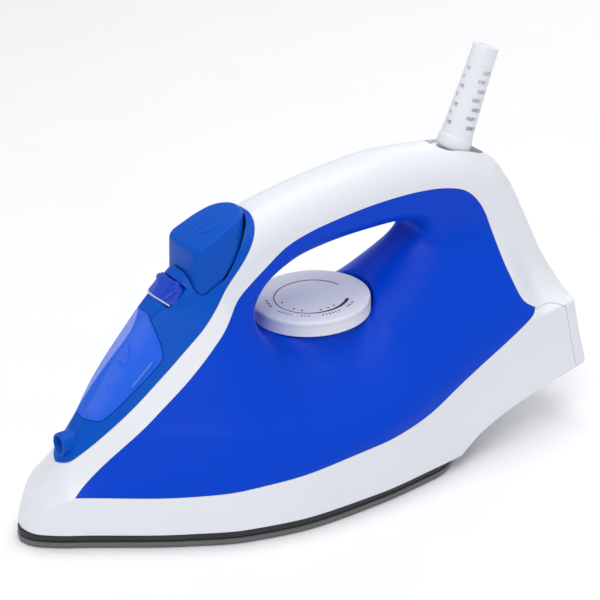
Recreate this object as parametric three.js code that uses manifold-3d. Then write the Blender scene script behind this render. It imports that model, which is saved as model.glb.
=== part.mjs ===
// A steam iron as an assembly of separate pieces.
// Millimetres, +Z up. Every x below is counted from the nose tip towards the heel;
// the group at the end moves the origin to the middle of the length.
import * as THREE from 'three';
import { mergeVertices } from 'three/addons/utils/BufferGeometryUtils.js';
import Module from 'manifold-3d';

const wasm = await Module();
wasm.setup();

// ---- driving dimensions -------------------------------------------------
const LENGTH = 254;            // nose tip to the lower edge of the heel
const WALL = 3;                // moulded shells
const TUNNEL_WALL = 2.5;       // shell around the hand opening
const GAP = 0.3;               // clearance between neighbouring pieces
const REACH = 80;              // half length of cutting prisms across the iron
const SKIRT_Z = 6.1;           // lower edge of the white shell

const SOLE = { rear: 191, plate: 2.8, casting: 11, rim: 9 };
const SHIELD = { band: 5.8, deck: 19, deckThickness: 2.5, rim: 4, wall: 2.2 };
const DIAL = { x: 134.7, top: 73.4, radius: 24.3, height: 6.6, room: 1.2, tilt: 3 * Math.PI / 180 };
const HEEL_PLANE = { topX: 246, topZ: 60, footX: LENGTH, footZ: 27 };
const BUTTON = { front: 74, rear: 101.8, half: 12.7, travel: 4, clearance: 0.6 };
const PUMP = { x: 87, foot: 68, top: 90, radius: 6, bore: 4 };
const GUARD = { x: 199.3, z: 113, lean: 20.7 * Math.PI / 180, length: 55.5, bore: 3.2 };
const FILLER = { lowX: 62.6, lowZ: 90.6, highX: 69.6, highZ: 97, half: 8 };
const NOZZLE = { x: 18.5, z: 37.7, radius: 4.8, length: 8 };
const DRIP = { x: 64, radius: 3 };

const finishes = {
  white: { color: 0xe4e7ee, roughness: 0.35, metalness: 0 },
  blue: { color: 0x0447cf, roughness: 0.35, metalness: 0 },
  clearBlue: { color: 0x2a5be8, roughness: 0.15, metalness: 0 },
  black: { color: 0x24262a, roughness: 0.5, metalness: 0 },
  aluminium: { color: 0x8f9195, roughness: 0.4, metalness: 1 },
  steel: { color: 0xb8bcc2, roughness: 0.3, metalness: 1 },
  brass: { color: 0xb89550, roughness: 0.35, metalness: 1 },
  rubber: { color: 0x9c2f22, roughness: 0.8, metalness: 0 },
  ceramic: { color: 0xe9e4d6, roughness: 0.7, metalness: 0 },
};

// ---- outlines and surfaces ----------------------------------------------
// Smooth curve through knots that never overshoots them, flat past the ends.
function profile(knots) {
  const xs = knots.map((k) => k[0]);
  const ys = knots.map((k) => k[1]);
  const last = knots.length - 1;
  const step = xs.slice(1).map((x, i) => x - xs[i]);
  const rise = step.map((h, i) => (ys[i + 1] - ys[i]) / h);
  const slope = xs.map((_, i) => {
    if (i === 0) return rise[0];
    if (i === last) return rise[last - 1];
    if (rise[i - 1] * rise[i] <= 0) return 0;
    const before = (2 * step[i] + step[i - 1]) / rise[i - 1];
    const after = (step[i] + 2 * step[i - 1]) / rise[i];
    return 3 * (step[i - 1] + step[i]) / (before + after);
  });
  return (x) => {
    const at = Math.min(Math.max(x, xs[0]), xs[last]);
    let i = 0;
    while (i < last - 1 && at > xs[i + 1]) i += 1;
    const t = (at - xs[i]) / step[i];
    const u = 1 - t;
    const ends = ys[i] * (1 + 2 * t) * u * u + ys[i + 1] * t * t * (3 - 2 * t);
    return ends + step[i] * t * u * (slope[i] * u - slope[i + 1] * t);
  };
}

// Half width of the soleplate and of the white skirt above it, by x.
const soleHalf = profile([[0, 0], [1.2, 4.5], [8, 11.5], [21, 19.5], [53, 38.5], [76, 48.5],
  [105, 53], [135, 51], [167, 45.5], [SOLE.rear, 40]]);
const skirtHalf = profile([[0, 0.6], [1.2, 4.4], [8, 11.8], [21, 19.8], [53, 39], [76, 49],
  [105, 53.5], [135, 52], [167, 46.5], [195, 41], [240, 35.5], [LENGTH, 33.5]]);
// Heights of the skirt's lower edge, the top line, and the skirt's upper edge.
const lowerEdge = profile([[0, SKIRT_Z], [180, SKIRT_Z], [192, 12], [213, 19], [LENGTH, 27]]);
const topLine = profile([[0, 8], [4, 14], [10, 22], [24, 41], [36, 60.5], [45, 72], [64, 92],
  [88, 110.5], [100, 117], [112, 120.8], [142, 127], [165, 129.5], [198, 127.2], [218, 119],
  [226, 108], [234, 90], [241, 73], [245, 66], [250, 62], [LENGTH, 60]]);
const skirtTop = profile([[0, 12], [17, 21.5], [75, 22], [120, 27.5], [162, 34], [191, 44],
  [226, 56], [LENGTH, 58]]);
// Half width that the flank narrows to, and the height where it gets there.
const upperHalf = profile([[0, 3], [17, 5.5], [60, 6.8], [76, 11.5], [88, 14], [110, 15.5],
  [190, 15.5], [215, 17], [235, 23], [243, 31], [LENGTH, 33]]);
const flankTop = profile([[0, 12], [17, 31.5], [51, 76], [64, 88], [80, 94], [95, 84],
  [112, 70], [135, 70], [160, 84], [200, 94], [220, 90], [235, 82], [245, 68], [LENGTH, 60]]);
const flankFull = profile([[0, 1.15], [60, 1.2], [130, 1.8], [LENGTH, 1.8]]);
const flankHollow = profile([[0, 1], [60, 1], [130, 1.6], [LENGTH, 1.6]]);
const DRAFT = 0.08;            // the skirt leans in by this much per millimetre
const DRAFT_HEIGHT = 16;

function flankHalf(x, z) {
  const wide = skirtHalf(x);
  const narrow = Math.min(upperHalf(x), wide);
  const from = Math.min(skirtTop(x), topLine(x) - 1);
  const to = Math.max(flankTop(x), from + 2);
  const t = Math.min(Math.max((z - from) / (to - from), 0), 1);
  const blend = (1 - t ** flankFull(x)) ** flankHollow(x);
  const lean = DRAFT * Math.min(Math.max(z - lowerEdge(x), 0), DRAFT_HEIGHT);
  return narrow + (wide - narrow) * blend - lean * Math.min(wide / 20, 1);
}

// One cross-section of the body at x, shrunk by inset, as [y, z] points.
const FLANK_STEPS = 7;
const CROWN_STEPS = 3;
const TOP_INSET = 1.35;        // the top line slopes, so it moves further than the flanks
function section(x, inset, floor) {
  const bottom = floor(x);
  const top = Math.max(topLine(x) - TOP_INSET * inset, bottom + 1);
  const crown = Math.min(13, (top - bottom) * 0.4, flankHalf(x, top) + 1);
  const side = [];
  for (let i = 0; i <= FLANK_STEPS; i += 1) {
    const z = bottom + (top - crown - bottom) * (i / FLANK_STEPS);
    side.push([Math.max(flankHalf(x, z) - inset, 0.4), z]);
  }
  for (let i = 1; i < CROWN_STEPS; i += 1) {
    const angle = (i / CROWN_STEPS) * Math.PI / 2;
    const z = top - crown + crown * Math.sin(angle);
    side.push([Math.max(flankHalf(x, z) - inset, 0.4) * Math.cos(angle), z]);
  }
  const mirrored = side.map(([y, z]) => [-y, z]).reverse();
  return [...side, [0, top], ...mirrored];
}

// ---- turning geometry into solids ---------------------------------------
function solid(geometry) {
  const plain = geometry.clone();
  plain.deleteAttribute('normal');
  plain.deleteAttribute('uv');
  const merged = mergeVertices(plain, 1e-4);
  const vertProperties = new Float32Array(merged.attributes.position.array);
  const triVerts = new Uint32Array(merged.index.array);
  return new wasm.Manifold(new wasm.Mesh({ numProp: 3, vertProperties, triVerts }));
}

function meshOf(name, body, finish) {
  const made = body.getMesh();
  const geometry = new THREE.BufferGeometry();
  geometry.setAttribute('position', new THREE.BufferAttribute(made.vertProperties, 3));
  geometry.setIndex(new THREE.BufferAttribute(made.triVerts, 1));
  geometry.computeVertexNormals();
  const mesh = new THREE.Mesh(geometry, new THREE.MeshStandardMaterial(finishes[finish]));
  mesh.name = name;
  return mesh;
}

// Closed skin through rings of equal size that lie across the length.
function loft(stations, ringAt) {
  const rings = stations.map(ringAt);
  const count = rings[0].length;
  const positions = rings.flatMap((ring, i) => ring.flatMap(([y, z]) => [stations[i], y, z]));
  const index = [];
  for (let i = 0; i + 1 < rings.length; i += 1) {
    for (let j = 0; j < count; j += 1) {
      const a = i * count + j;
      const b = i * count + (j + 1) % count;
      index.push(a, b, b + count, a, b + count, a + count);
    }
  }
  const lastRing = (rings.length - 1) * count;
  for (let j = 1; j + 1 < count; j += 1) {
    index.push(0, j + 1, j);
    index.push(lastRing, lastRing + j, lastRing + j + 1);
  }
  const geometry = new THREE.BufferGeometry();
  geometry.setAttribute('position', new THREE.Float32BufferAttribute(positions, 3));
  geometry.setIndex(index);
  return solid(geometry);
}

const outlineShape = (points) => new THREE.Shape(points.map(([x, y]) => new THREE.Vector2(x, y)));

// Smooth closed or open run through a few points.
function curved(points, count, closed = false) {
  const vectors = points.map(([x, y]) => new THREE.Vector3(x, y, 0));
  const curve = new THREE.CatmullRomCurve3(vectors, closed, 'centripetal');
  const samples = curve.getSpacedPoints(count);
  if (closed) samples.pop();
  return samples.map((p) => [p.x, p.y]);
}

// Moves every edge of an outline outwards by distance, or inwards if negative.
function grown(points, distance) {
  const area = points.reduce((sum, [x, y], i) => {
    const [nx, ny] = points[(i + 1) % points.length];
    return sum + x * ny - nx * y;
  }, 0);
  const turn = Math.sign(area) * distance;
  return points.map(([x, y], i) => {
    const [px, py] = points[(i + points.length - 1) % points.length];
    const [nx, ny] = points[(i + 1) % points.length];
    const before = new THREE.Vector2(y - py, px - x).normalize();
    const after = new THREE.Vector2(ny - y, x - nx).normalize();
    const normal = before.clone().add(after).normalize();
    const reach = turn / Math.max(normal.dot(after), 0.5);
    return [x + normal.x * reach, y + normal.y * reach];
  });
}

// Prism with an [x, z] outline, running across the iron from y = low to y = high.
function across(points, low = -REACH, high = REACH) {
  const options = { depth: high - low, bevelEnabled: false, steps: 1 };
  const geometry = new THREE.ExtrudeGeometry(outlineShape(points), options);
  geometry.rotateX(Math.PI / 2);
  geometry.translate(0, high, 0);
  return solid(geometry);
}

// Prism with an [x, y] outline, standing from z = low to z = high.
function upright(points, low, high) {
  const options = { depth: high - low, bevelEnabled: false, steps: 1 };
  const geometry = new THREE.ExtrudeGeometry(outlineShape(points), options);
  geometry.translate(0, 0, low);
  return solid(geometry);
}

// Turned piece: [radius, height] profile about +Z, then leaned about Y and moved.
function turned(points, { x = 0, y = 0, z = 0, lean = 0, sides = 20 } = {}) {
  const outline = points.map(([r, h]) => new THREE.Vector2(r, h));
  const geometry = new THREE.LatheGeometry(outline, sides);
  geometry.rotateX(Math.PI / 2);
  geometry.rotateY(lean);
  geometry.translate(x, y, z);
  return solid(geometry);
}

function cylinder(radius, low, high, place = {}) {
  return turned([[0, low], [radius, low], [radius, high], [0, high]], place);
}

// Cylinder along Y at (x, z).
function pin(radius, low, high, x, z, sides = 16) {
  const geometry = new THREE.CylinderGeometry(radius, radius, high - low, sides);
  geometry.translate(x, (low + high) / 2, z);
  return solid(geometry);
}

function block(x0, x1, y0, y1, z0, z1) {
  const geometry = new THREE.BoxGeometry(x1 - x0, y1 - y0, z1 - z0);
  geometry.translate((x0 + x1) / 2, (y0 + y1) / 2, (z0 + z1) / 2);
  return solid(geometry);
}

// Round rod along a curve through 3D points.
function rod(points, radius, { sides = 8, steps = 24 } = {}) {
  const path = new THREE.CatmullRomCurve3(points.map((p) => new THREE.Vector3(...p)));
  const round = new THREE.Shape();
  for (let i = 0; i < sides; i += 1) {
    const angle = (i / sides) * Math.PI * 2;
    const point = [radius * Math.cos(angle), radius * Math.sin(angle)];
    if (i === 0) round.moveTo(...point);
    else round.lineTo(...point);
  }
  const options = { steps, extrudePath: path, bevelEnabled: false };
  return solid(new THREE.ExtrudeGeometry(round, options));
}

// ---- the body: one skin, cut into its mouldings ---------------------------
const STATIONS = [0, 1.2, 4, 8, 14, 22, 32, 44, 56, 68, 80, 92, 104, 118, 132, 146, 160, 172,
  184, 194, 204, 212, 219, 225, 231, 237, 243, 249, LENGTH];

// Everything ahead of the leaning rear face, moved forward by depth.
const aheadOfHeel = (depth) => {
  const slope = (HEEL_PLANE.footX - HEEL_PLANE.topX) / (HEEL_PLANE.topZ - HEEL_PLANE.footZ);
  const edge = (z) => HEEL_PLANE.footX - depth - slope * (z - HEEL_PLANE.footZ);
  return across([[-20, -20], [edge(-20), -20], [edge(150), 150], [-20, 150]]);
};

const OPEN_BELOW = 172;        // ahead of this the shells are open above the soleplate
const shellFloor = (x) => (x < OPEN_BELOW ? 2 : lowerEdge(x) + WALL);
const outerSkin = () => loft(STATIONS, (x) => section(x, 0, lowerEdge)).intersect(aheadOfHeel(0));
const innerSkin = (inset) => {
  const inside = STATIONS.filter((x) => x > inset && x < LENGTH - 2);
  return loft(inside, (x) => section(x, inset, shellFloor)).intersect(aheadOfHeel(inset));
};

const openingOutline = curved([[97.5, 78], [100.5, 87], [109, 94.5], [119, 99], [136, 102],
  [155, 103.5], [178, 103], [188, 99.5], [187, 94], [178, 88], [169, 82], [160, 76.5],
  [151, 73.5], [144, 67], [130, 65], [112, 64], [103, 67.5]], 36, true);

const panelUpper = curved([[17, 22], [30, 33.5], [50, 50], [64, 61.8], [77, 74.2], [85, 81.3],
  [95.5, 90.3], [105, 98], [114, 104.5], [124, 108.2], [140, 111.5], [158, 113.8], [178, 114.4],
  [192, 112.8], [201, 109.5], [208, 102], [213, 90], [215, 74], [218, 63.5], [224, 59]], 30);
const panelLower = curved([[222, 57.5], [205, 49], [180, 38.5], [163, 31.5], [146, 28.3],
  [121, 26.5], [90, 24], [59, 22], [25, 22]], 12);
const panelOutline = [...panelUpper, ...panelLower];

const coverEdge = curved([[13, 29], [18, 31.5], [49, 57.5], [78, 84], [97, 105], [104, 119],
  [104, 130]], 18);
const coverOutline = [...coverEdge, [60, 140], [-10, 70], [-10, 29]];

const heelSeam = [[224, 58.4], ...curved([[234, 58], [238.5, 56.5], [240.2, 53]], 4),
  [247, 24], [270, 18], [270, 63], [227, 63], [224, 60]];

const windowOutline = [[57, 90], [59, 78], [59, 71.5], [57, 68.5], [35.5, 49.5], [32.5, 47.6],
  [27, 48], [10, 60], [30, 100]];

// Plan outline of the spray button: blunt nose, pointed stern.
const buttonPlan = (extra) => {
  const side = [[BUTTON.front, 8], [BUTTON.front + 1.2, 11.2], [BUTTON.front + 4, BUTTON.half],
    [88, BUTTON.half], [94, 11.6], [98, 9], [100.7, 5.6], [BUTTON.rear, 2]];
  const mirrored = side.map(([x, y]) => [x, -y]).reverse();
  return grown([...side, ...mirrored], extra);
};

// The lid's side view: a slice square to the sloping top line.
const lidSlope = Math.atan2(FILLER.highZ - FILLER.lowZ, FILLER.highX - FILLER.lowX);
const alongLid = (distance, height) => [
  FILLER.lowX + distance * Math.cos(lidSlope) - height * Math.sin(lidSlope),
  FILLER.lowZ + distance * Math.sin(lidSlope) + height * Math.cos(lidSlope),
];
const LID_LENGTH = Math.hypot(FILLER.highX - FILLER.lowX, FILLER.highZ - FILLER.lowZ);
const lidSlice = (low, high, front, rear) => [
  alongLid(front, low), alongLid(rear, low), alongLid(rear, high), alongLid(front, high),
];
const LID_HINGE = alongLid(LID_LENGTH - 1.8, -1.4);

const outer = outerSkin();
const opening = across(openingOutline);
const dialPlace = { x: DIAL.x, z: DIAL.top, lean: -DIAL.tilt };
// The dial sits in a round recess at the foot of the opening.
const dialRoom = (extra) => cylinder(DIAL.radius + DIAL.room + extra,
  -DIAL.height - 0.8 - extra, 12, { ...dialPlace, sides: 32 });
const tunnel = across(grown(openingOutline, TUNNEL_WALL)).add(dialRoom(TUNNEL_WALL));
const hollow = innerSkin(WALL).subtract(tunnel);
const skin = outer.subtract(opening).subtract(dialRoom(0)).subtract(hollow);

const panelPrism = (extra) => across(grown(panelOutline, extra));
const coverPrism = (extra) => across(grown(coverOutline, extra));
const heelPrism = (extra) => across(grown(heelSeam, extra));
const HALF_GAP = GAP / 2;

function guardSlot() {
  const half = 13;
  const width = 7.6;
  const centre = GUARD.x + Math.tan(GUARD.lean) * (topLine(GUARD.x) - GUARD.z) - 0.5;
  const ends = [];
  for (let i = 0; i <= 12; i += 1) {
    const angle = -Math.PI / 2 + Math.PI * (i / 12);
    ends.push([centre + half - width + width * Math.cos(angle), width * Math.sin(angle)]);
  }
  const back = ends.map(([x, y]) => [2 * centre - x, -y]);
  return upright([...ends, ...back], 112, 140);
}

function outerShell() {
  const shell = skin.subtract(panelPrism(HALF_GAP)).subtract(coverPrism(HALF_GAP));
  const rearHalf = block(120, LENGTH, -REACH, REACH, 0, SHIELD.deck + 1);
  const soleRoom = upright(solePlan(2.6), 0, SHIELD.deck + 1).intersect(rearHalf);
  const open = shell.subtract(heelPrism(HALF_GAP)).subtract(guardSlot());
  return open.subtract(nozzleBore()).subtract(soleRoom);
}

function saddleBody() {
  const bore = cylinder(5.4, -12, 12, { x: DIAL.x, z: 64, lean: -DIAL.tilt });
  return skin.intersect(panelPrism(-HALF_GAP)).subtract(bore);
}

const nozzleBore = () => cylinder(NOZZLE.radius + GAP, -5, 15,
  { x: NOZZLE.x, z: NOZZLE.z, lean: Math.PI / 2 });

function frontCover() {
  const wide = FILLER.half + 0.4;
  const lidWell = across(lidSlice(-3.6, 6, -GAP, LID_LENGTH + 1.4), -wide, wide);
  const cover = skin.intersect(coverPrism(-HALF_GAP)).subtract(nozzleBore());
  const buttonHole = upright(buttonPlan(0.4), 70, 140);
  return cover.subtract(lidWell).subtract(buttonHole).subtract(across(windowOutline));
}

function rearCover() {
  const head = cylinder(4, -3, 20, { x: 248.6, z: 43, lean: Math.PI / 2 - 0.24 });
  const shank = cylinder(2.2, -12, 20, { x: 248.6, z: 43, lean: Math.PI / 2 - 0.24 });
  const recess = head.subtract(block(200, 248.2, -9, 9, 20, 70));
  return skin.intersect(heelPrism(-HALF_GAP)).subtract(recess).subtract(shank);
}

function tankWindow() {
  return skin.intersect(across(grown(windowOutline, -GAP)));
}

// ---- soleplate and what stands on it --------------------------------------
// Plan outline of the soleplate, drawn in by inset, as [x, y] points.
const REAR_ROUNDING = 24;
function solePlan(inset) {
  const shrink = inset * 1.15;
  const rear = SOLE.rear - inset;
  const bend = rear - REAR_ROUNDING;
  const side = [];
  const steps = 16;
  let nose = 0;
  while (soleHalf(nose) < shrink) nose += 0.2;
  for (let i = 0; i <= steps; i += 1) {
    const x = nose + 0.2 + (bend - nose - 0.2) * (i / steps) ** 1.3;
    side.push([x, soleHalf(x) - shrink]);
  }
  for (let i = 1; i < 6; i += 1) {
    const angle = (i / 6) * Math.PI / 2;
    const x = bend + REAR_ROUNDING * Math.sin(angle);
    side.push([x, (soleHalf(x) - shrink) * Math.cos(angle) ** 0.6]);
  }
  const mirrored = side.map(([px, py]) => [px, -py]).reverse();
  return [...mirrored, ...side];
}

const chamberPlan = (extra) => grown(curved([[54, 0], [62, -8], [80, -19], [110, -26],
  [140, -25], [152, -14], [152, 14], [140, 25], [110, 26], [80, 19], [62, 8]], 22, true), extra);

const heaterPath = [[177, -20, 13.5], [170, -22, 10.5], [150, -33, 10], [110, -37, 10],
  [76, -31, 10], [52, -17, 10], [40, 0, 10], [52, 17, 10], [76, 31, 10], [110, 37, 10],
  [150, 33, 10], [170, 22, 10.5], [177, 20, 13.5]];

const steamHoles = [[62, 0]];
for (const [x, y] of [[68, 8], [79, 14], [92, 18], [106, 20.5], [121, 21], [136, 19]]) {
  steamHoles.push([x, y], [x, -y]);
}

const soleScrews = { screw_nose: [24, 0], screw_left: [164, -8], screw_right: [164, 8] };

function soleplate() {
  let plate = upright(solePlan(0), 0, SOLE.plate);
  plate = plate.add(upright(solePlan(SOLE.rim), SOLE.plate - 0.5, SOLE.casting));
  plate = plate.subtract(upright(chamberPlan(0), 5.5, SOLE.casting + 1));
  plate = plate.subtract(rod(heaterPath, 3.8, { sides: 6, steps: 26 }));
  for (const [x, y] of steamHoles) {
    plate = plate.subtract(cylinder(1.5, -1, 7, { x, y, sides: 6 }));
  }
  for (const [x, y] of Object.values(soleScrews)) {
    plate = plate.subtract(cylinder(1.9, 5, 14, { x, y, sides: 8 }));
  }
  return plate;
}

function chamberCover() {
  const plate = upright(chamberPlan(2.2), SOLE.casting + GAP, SOLE.casting + 1.5);
  return plate.subtract(cylinder(2, 5, 20, { x: DRIP.x, sides: 12 }));
}

function heatShield() {
  const { band, deck, deckThickness, rim, wall } = SHIELD;
  let tray = upright(solePlan(0.4), SOLE.plate + GAP, band).subtract(upright(solePlan(5), 0, 9));
  const upstand = upright(solePlan(rim), band - 1, deck);
  const walls = upstand.subtract(upright(solePlan(rim + wall), 0, deck - deckThickness));
  tray = tray.add(walls.subtract(block(-5, 28, -30, 30, band, 30)));
  tray = tray.subtract(block(116, 154, -13, 13, 10, 25));
  for (const side of [-1, 1]) {
    const [low, high] = [20 * side - 7, 20 * side + 7];
    tray = tray.subtract(block(166, 184, low, high, 10, 25));
  }
  tray = tray.subtract(cylinder(DRIP.radius + 1.5, 10, 25, { x: DRIP.x, sides: 16 }));
  for (const [x, y] of Object.values(soleScrews)) {
    tray = tray.subtract(cylinder(1.9, 10, 25, { x, y, sides: 8 }));
  }
  return tray;
}

const screwAt = ([x, y]) => turned([[0, 6], [1.6, 6], [1.6, SHIELD.deck + GAP],
  [3.2, SHIELD.deck + GAP], [3.2, SHIELD.deck + 1.4], [1.8, SHIELD.deck + 2.3],
  [0, SHIELD.deck + 2.3]], { x, y, sides: 12 });

function dripValve() {
  return turned([[1, 13], [DRIP.radius, 13], [DRIP.radius, 19.6], [5, 19.6], [5, 21],
    [DRIP.radius, 21], [DRIP.radius, 23.2], [1, 23.2], [1, 13]], { x: DRIP.x, sides: 16 });
}

// ---- water tank and spray pump --------------------------------------------
const tankOutline = [[29, 25], [112, 25], [112, 38], [98, 50], [78, 60], [71, 70], [69, 86],
  [29, 86]];
const TANK_WALL = 1.8;
// The spray hose runs from the pump's foot through the tank to the back of the nozzle.
const SPRAY_HOSE = 1.6;
const sprayHosePath = [[PUMP.x, 0, PUMP.foot - 1], [PUMP.x - 1, 0, 64], [78, 0, 60.4],
  [52, 0, 49.4], [NOZZLE.x + NOZZLE.length + 1, 0, NOZZLE.z]];
const tankSkin = (inset) => {
  const inside = STATIONS.filter((x) => x > inset && x < 130);
  return loft(inside, (x) => section(x, inset, () => 20));
};

function waterTank() {
  const shape = tankSkin(WALL + 1.6).intersect(across(tankOutline));
  const inside = tankSkin(WALL + 1.6 + TANK_WALL).intersect(across(grown(tankOutline, -TANK_WALL)));
  const mouth = cylinder(3.5, 68, 95, { x: FILLER.lowX + 3.4, sides: 16 });
  const outlet = cylinder(3.3, 20, 30, { x: DRIP.x, sides: 12 });
  const hosePath = rod(sprayHosePath, SPRAY_HOSE + 0.4, { steps: 6 });
  return shape.subtract(inside).subtract(mouth).subtract(outlet).subtract(hosePath);
}

// The button's lower edge clears the outer shell, even when the button is down.
const buttonFoot = coverEdge.filter(([x, z]) => x > 62 && z < 117)
  .map(([x, z]) => [x, z + BUTTON.travel + BUTTON.clearance]).reverse();

function sprayButton() {
  const crest = curved([[BUTTON.front - 4, 108.2], [BUTTON.front + 6, 113], [90, 118], [104, 122.4]], 8);
  const body = across([...crest, [104.5, 121.5], ...buttonFoot]);
  const cavity = across([...crest.map(([x, z]) => [x, z - 2.4]), [104, 80], [70, 80]]);
  const walls = upright(buttonPlan(0), 80, 130).intersect(body);
  return walls.subtract(upright(buttonPlan(-2.2), 70, 130).intersect(cavity));
}

function pumpBody() {
  const { x, foot, top, radius, bore } = PUMP;
  return turned([[1.2, foot], [radius, foot], [radius, top], [bore, top], [bore, foot + 2],
    [1.2, foot + 2], [1.2, foot]], { x, sides: 20 });
}

function pumpPiston() {
  const { x, foot, bore } = PUMP;
  const [low, high] = [foot + 12, 112.4];
  return turned([[0, low], [bore - GAP, low], [bore - GAP, low + 5], [2.4, low + 5], [2.4, high],
    [0, high]], { x, sides: 16 });
}

function pumpSpring() {
  const turns = 6;
  const [low, high] = [PUMP.top + 0.9, 110];
  const points = [];
  const perTurn = 8;
  for (let i = 0; i <= turns * perTurn; i += 1) {
    const angle = (i / perTurn) * Math.PI * 2;
    const rise = low + (high - low) * (i / (turns * perTurn));
    points.push([PUMP.x + 4.6 * Math.cos(angle), 4.6 * Math.sin(angle), rise]);
  }
  return rod(points, 0.6, { sides: 5, steps: turns * 10 });
}

const sprayHose = () => rod(sprayHosePath, SPRAY_HOSE, { steps: 14 });

function nozzle() {
  const { x, z, radius, length } = NOZZLE;
  return turned([[3, 0], [radius - 0.6, 0], [radius, 1], [radius, length], [1, length], [1, 4],
    [3, 3.4], [3, 0]], { x, z, lean: Math.PI / 2, sides: 20 });
}

function fillerCap() {
  const plate = loft(STATIONS.filter((x) => x > 30 && x < 110), (x) => section(x, -0.8, () => 20));
  const under = loft(STATIONS.filter((x) => x > 30 && x < 110), (x) => section(x, 1.2, () => 10));
  const slice = across(lidSlice(-2.4, 5, GAP, LID_LENGTH), -FILLER.half, FILLER.half);
  const lid = plate.subtract(under).intersect(slice);
  const [hingeX, hingeZ] = LID_HINGE;
  const knuckle = pin(1.9, -6, 6, hingeX, hingeZ, 14);
  return lid.add(knuckle).subtract(pin(1.0, -20, 20, hingeX, hingeZ, 12));
}

const fillerCapPin = () => pin(0.7, -7.5, 7.5, LID_HINGE[0], LID_HINGE[1], 12);

// ---- thermostat and dial ---------------------------------------------------
function dial() {
  const { radius, height } = DIAL;
  return turned([[0, -3.4], [3, -3.4], [3, -11], [4.8, -11], [4.8, -2.4], [radius - 2, -2.4],
    [radius - 2, -height], [radius, -height], [radius, -1.4], [radius - 0.4, -0.5],
    [radius - 1.4, 0], [0, 0]], { ...dialPlace, sides: 32 });
}

const thermostatSpindle = () => cylinder(2.6, -39, -3.8, { ...dialPlace, sides: 14 });

function thermostatBody() {
  const stack = block(124, 146, -6, 6, 16.4, 26);
  const mount = cylinder(5, 0, 5, { x: DIAL.x, z: 25, sides: 16 });
  return stack.add(mount);
}

function thermostatBracket() {
  const foot = block(119, 151, -7, 7, 12.9, 14.2);
  const rise = block(119, 121, -7, 7, 12.9, 20);
  const far = block(149, 151, -7, 7, 12.9, 20);
  return foot.add(rise).add(far);
}

const thermalFuse = () => {
  const geometry = new THREE.CylinderGeometry(2, 2, 16, 12);
  geometry.rotateZ(Math.PI / 2);
  geometry.translate(168, 0, 13.5);
  return solid(geometry);
};

// ---- cord guard and heel ----------------------------------------------------
const guardPlace = { x: GUARD.x, z: GUARD.z, lean: GUARD.lean };

function cordGuard() {
  const { length, bore } = GUARD;
  const sleeve = turned([[bore, 3], [4.6, 3], [4.9, 9], [7.2, 11], [6.7, 15], [6.1, 22], [5.3, 30],
    [5.1, length - 9], [5.4, length - 8.5], [5.4, length - 0.6], [4.9, length], [bore, length],
    [bore, 3]], { ...guardPlace, sides: 16 });
  const barrel = pin(5, -6.4, 6.4, GUARD.x, GUARD.z, 20);
  const trunnions = pin(2.2, -8.8, 8.8, GUARD.x, GUARD.z, 14);
  const throat = cylinder(bore, -20, 60, { ...guardPlace, sides: 16 });
  let guard = sleeve.add(barrel.add(trunnions).subtract(throat));
  const rows = 7;
  for (let i = 0; i < rows; i += 1) {
    const height = 17 + i * 4;
    const wedge = new THREE.BoxGeometry(1.6, 14, 1.7);
    wedge.translate(i % 2 ? 4.9 : -4.9, 0, height);
    wedge.rotateY(GUARD.lean);
    wedge.translate(GUARD.x, 0, GUARD.z);
    guard = guard.subtract(solid(wedge));
  }
  return guard;
}

function guardBearing(side) {
  const low = side * 8.1 - 1.2;
  const cheek = block(GUARD.x - 4.5, GUARD.x + 4.5, low, low + 2.4, GUARD.z - 4.4, GUARD.z + 3);
  return cheek.subtract(pin(2.2 + GAP, -20, 20, GUARD.x, GUARD.z, 14));
}

const terminalBlock = () => {
  let housing = block(219, 238, -13, 13, 34, 45);
  for (const y of [-8.5, 0, 8.5]) {
    housing = housing.subtract(block(210, 245, y - 2, y + 2, 37, 41));
  }
  return housing;
};

const cordClamp = () => {
  const bar = block(221, 229, -11, 11, 48, 51.5);
  return bar.subtract(block(215, 235, -3.4, 3.4, 46, 49.4));
};

function rearScrew() {
  return turned([[0, -9], [1.8, -9], [1.8, 0.6], [3.4, 0.6], [3.4, 2.2], [2, 2.8], [0, 2.8]],
    { x: 248.6, z: 43, lean: Math.PI / 2 - 0.24, sides: 12 });
}

// ---- assembly ----------------------------------------------------------------
const iron = new THREE.Group();
iron.position.x = -LENGTH / 2;
const pieces = [
  ['soleplate', soleplate, 'aluminium'],
  ['heating_element', () => rod(heaterPath, 3.2, { sides: 6, steps: 26 }), 'steel'],
  ['chamber_cover', chamberCover, 'steel'],
  ['heat_shield', heatShield, 'black'],
  ['outer_shell', outerShell, 'white'],
  ['saddle_body', saddleBody, 'blue'],
  ['front_cover', frontCover, 'blue'],
  ['rear_cover', rearCover, 'white'],
  ['tank_window', tankWindow, 'clearBlue'],
  ['water_tank', waterTank, 'clearBlue'],
  ['drip_valve', dripValve, 'brass'],
  ['spray_button', sprayButton, 'blue'],
  ['pump_body', pumpBody, 'white'],
  ['pump_piston', pumpPiston, 'white'],
  ['pump_spring', pumpSpring, 'steel'],
  ['spray_hose', sprayHose, 'clearBlue'],
  ['nozzle', nozzle, 'blue'],
  ['filler_cap', fillerCap, 'clearBlue'],
  ['filler_cap_pin', fillerCapPin, 'steel'],
  ['dial', dial, 'white'],
  ['thermostat_spindle', thermostatSpindle, 'steel'],
  ['thermostat_body', thermostatBody, 'ceramic'],
  ['thermostat_bracket', thermostatBracket, 'steel'],
  ['thermal_fuse', thermalFuse, 'steel'],
  ['cord_guard', cordGuard, 'white'],
  ['guard_bearing_left', () => guardBearing(-1), 'white'],
  ['guard_bearing_right', () => guardBearing(1), 'white'],
  ['terminal_block', terminalBlock, 'white'],
  ['cord_clamp', cordClamp, 'black'],
  ['rear_cover_screw', rearScrew, 'steel'],
];
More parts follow.
